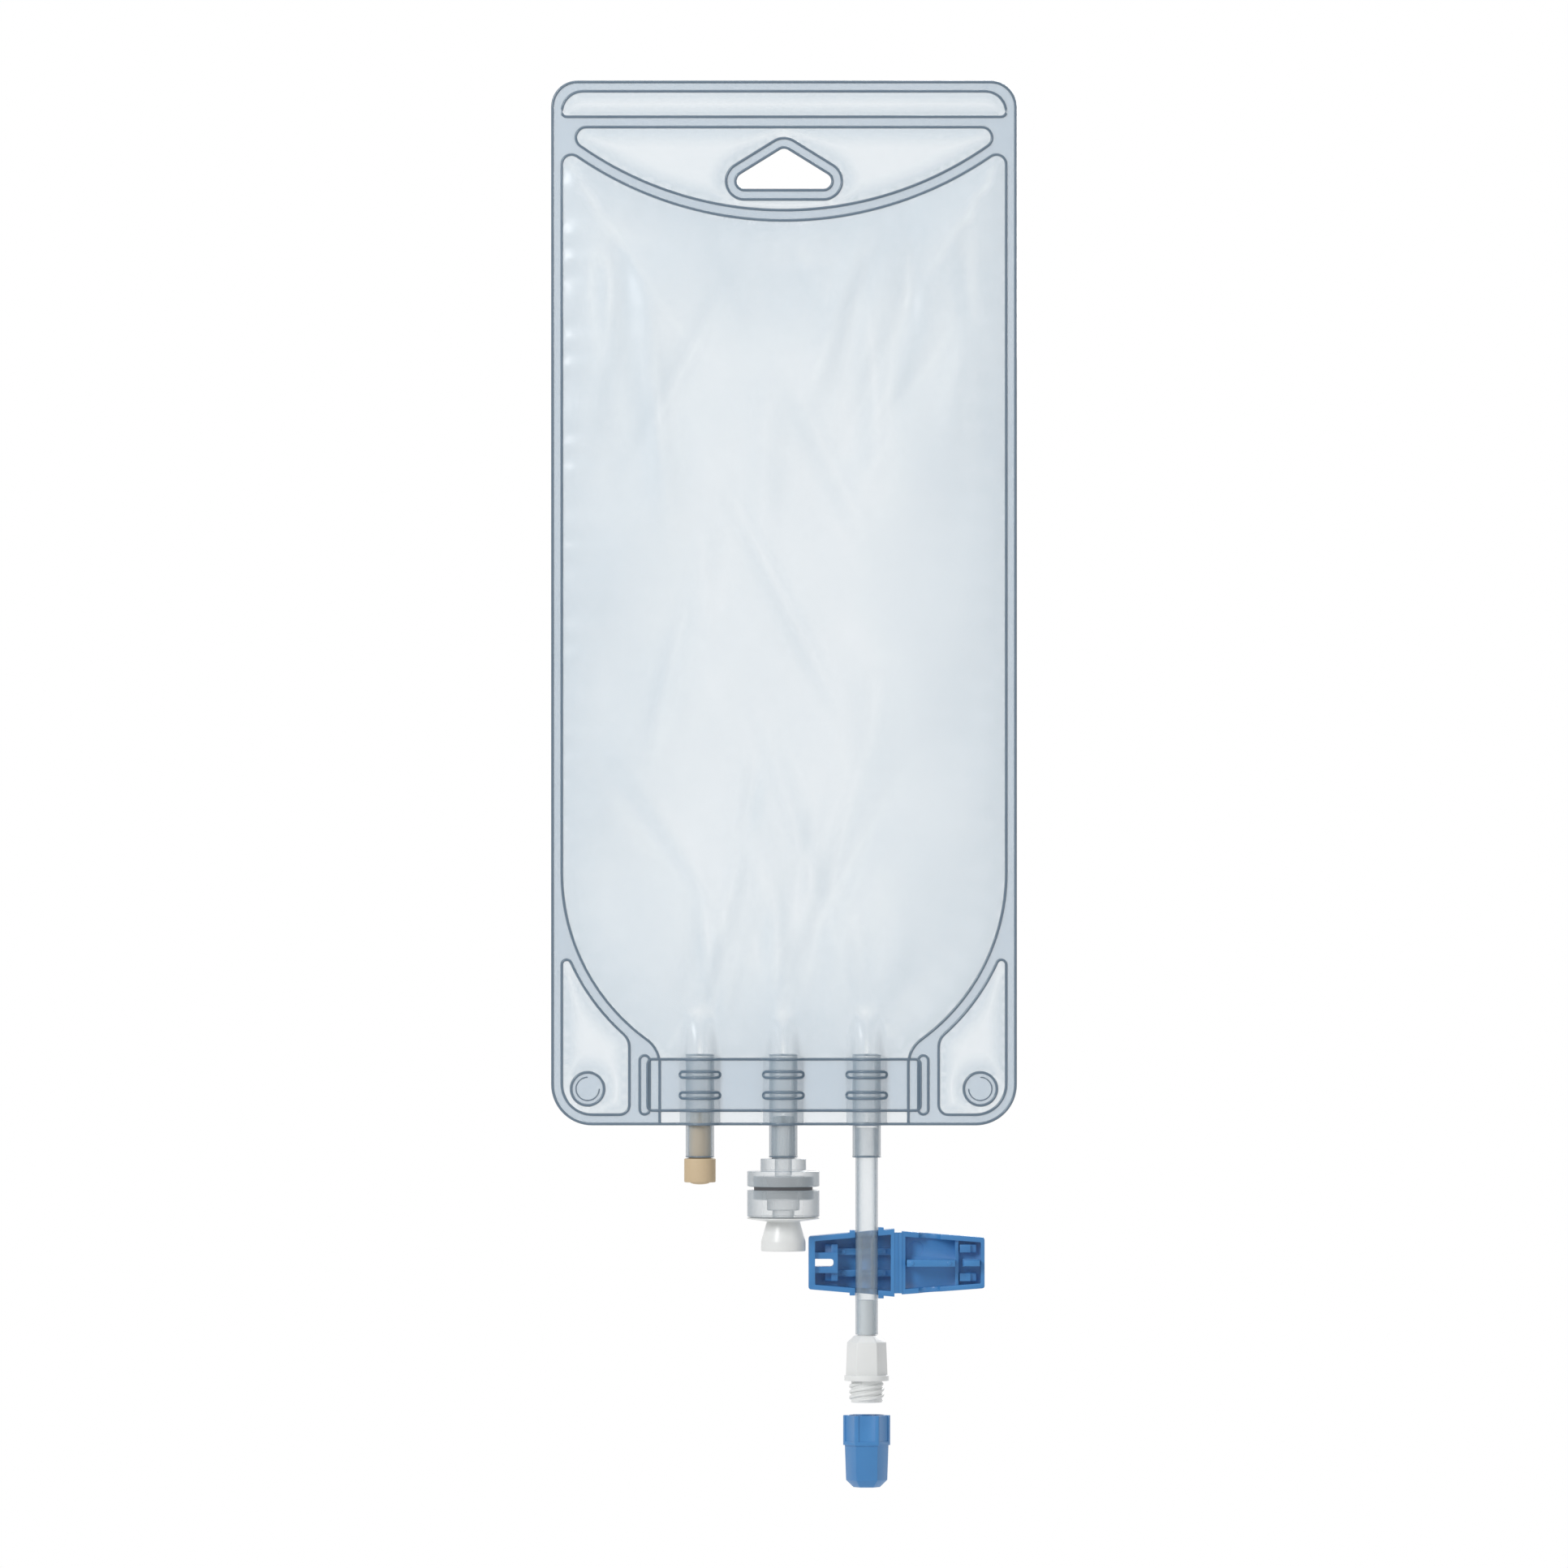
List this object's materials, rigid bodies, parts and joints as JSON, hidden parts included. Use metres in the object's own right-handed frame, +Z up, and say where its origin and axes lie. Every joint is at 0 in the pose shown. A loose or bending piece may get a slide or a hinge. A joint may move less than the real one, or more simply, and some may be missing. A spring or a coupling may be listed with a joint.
{
  "type": "iv fluid bag",
  "caption": "Empty clear film fluid bag that hangs by a hole, with a stopper port, a capped infusion port and a filling tube with a pinch clamp and a capped connector.",
  "frame": {"origin": "top of the hanger hole, on the plane where the two films meet, where the hook bears", "axes": "+Z up as the bag hangs, +X to the right seen from the front, -Y out of the front film"},
  "size_m": [0.135, 0.021, 0.4082],
  "materials": {
    "clear_film": "clear soft film",
    "clear_tube": "clear flexible tube",
    "white_moulding": "satin moulding",
    "frosted_moulding": "translucent moulding",
    "blue_moulding": "satin moulding",
    "grey_rubber": "matt rubber",
    "natural_rubber": "matt rubber"
  },
  "bodies": {
    "bag": {"front_film": "clear_film", "back_film": "clear_film", "injection_port_tube": "clear_tube", "infusion_port_tube": "clear_tube", "filling_port_tube": "clear_tube", "injection_stopper": "natural_rubber", "infusion_port_housing": "frosted_moulding", "septum": "grey_rubber", "septum_retainer": "frosted_moulding", "pull_off_cap": "white_moulding", "filling_tube": "clear_tube", "clamp_base": "blue_moulding", "filling_connector": "white_moulding"},
    "clamp_lid": {"clamp_lid": "blue_moulding"},
    "connector_cap": {"connector_cap": "blue_moulding"}
  },
  "joints": [
    {"name": "clamp_lid_hinge", "type": "hinge", "parent": "bag", "child": "clamp_lid", "pos_m": [0.03312, -0.0012, -0.3235], "axis": [0, 0, -1], "range_deg": [0, 180], "deforming": ["filling_tube"]},
    {"name": "connector_cap_slide", "type": "slide", "parent": "bag", "child": "connector_cap", "axis": [0, 0, 1], "range_m": [0, 0.0097]}
  ]
}
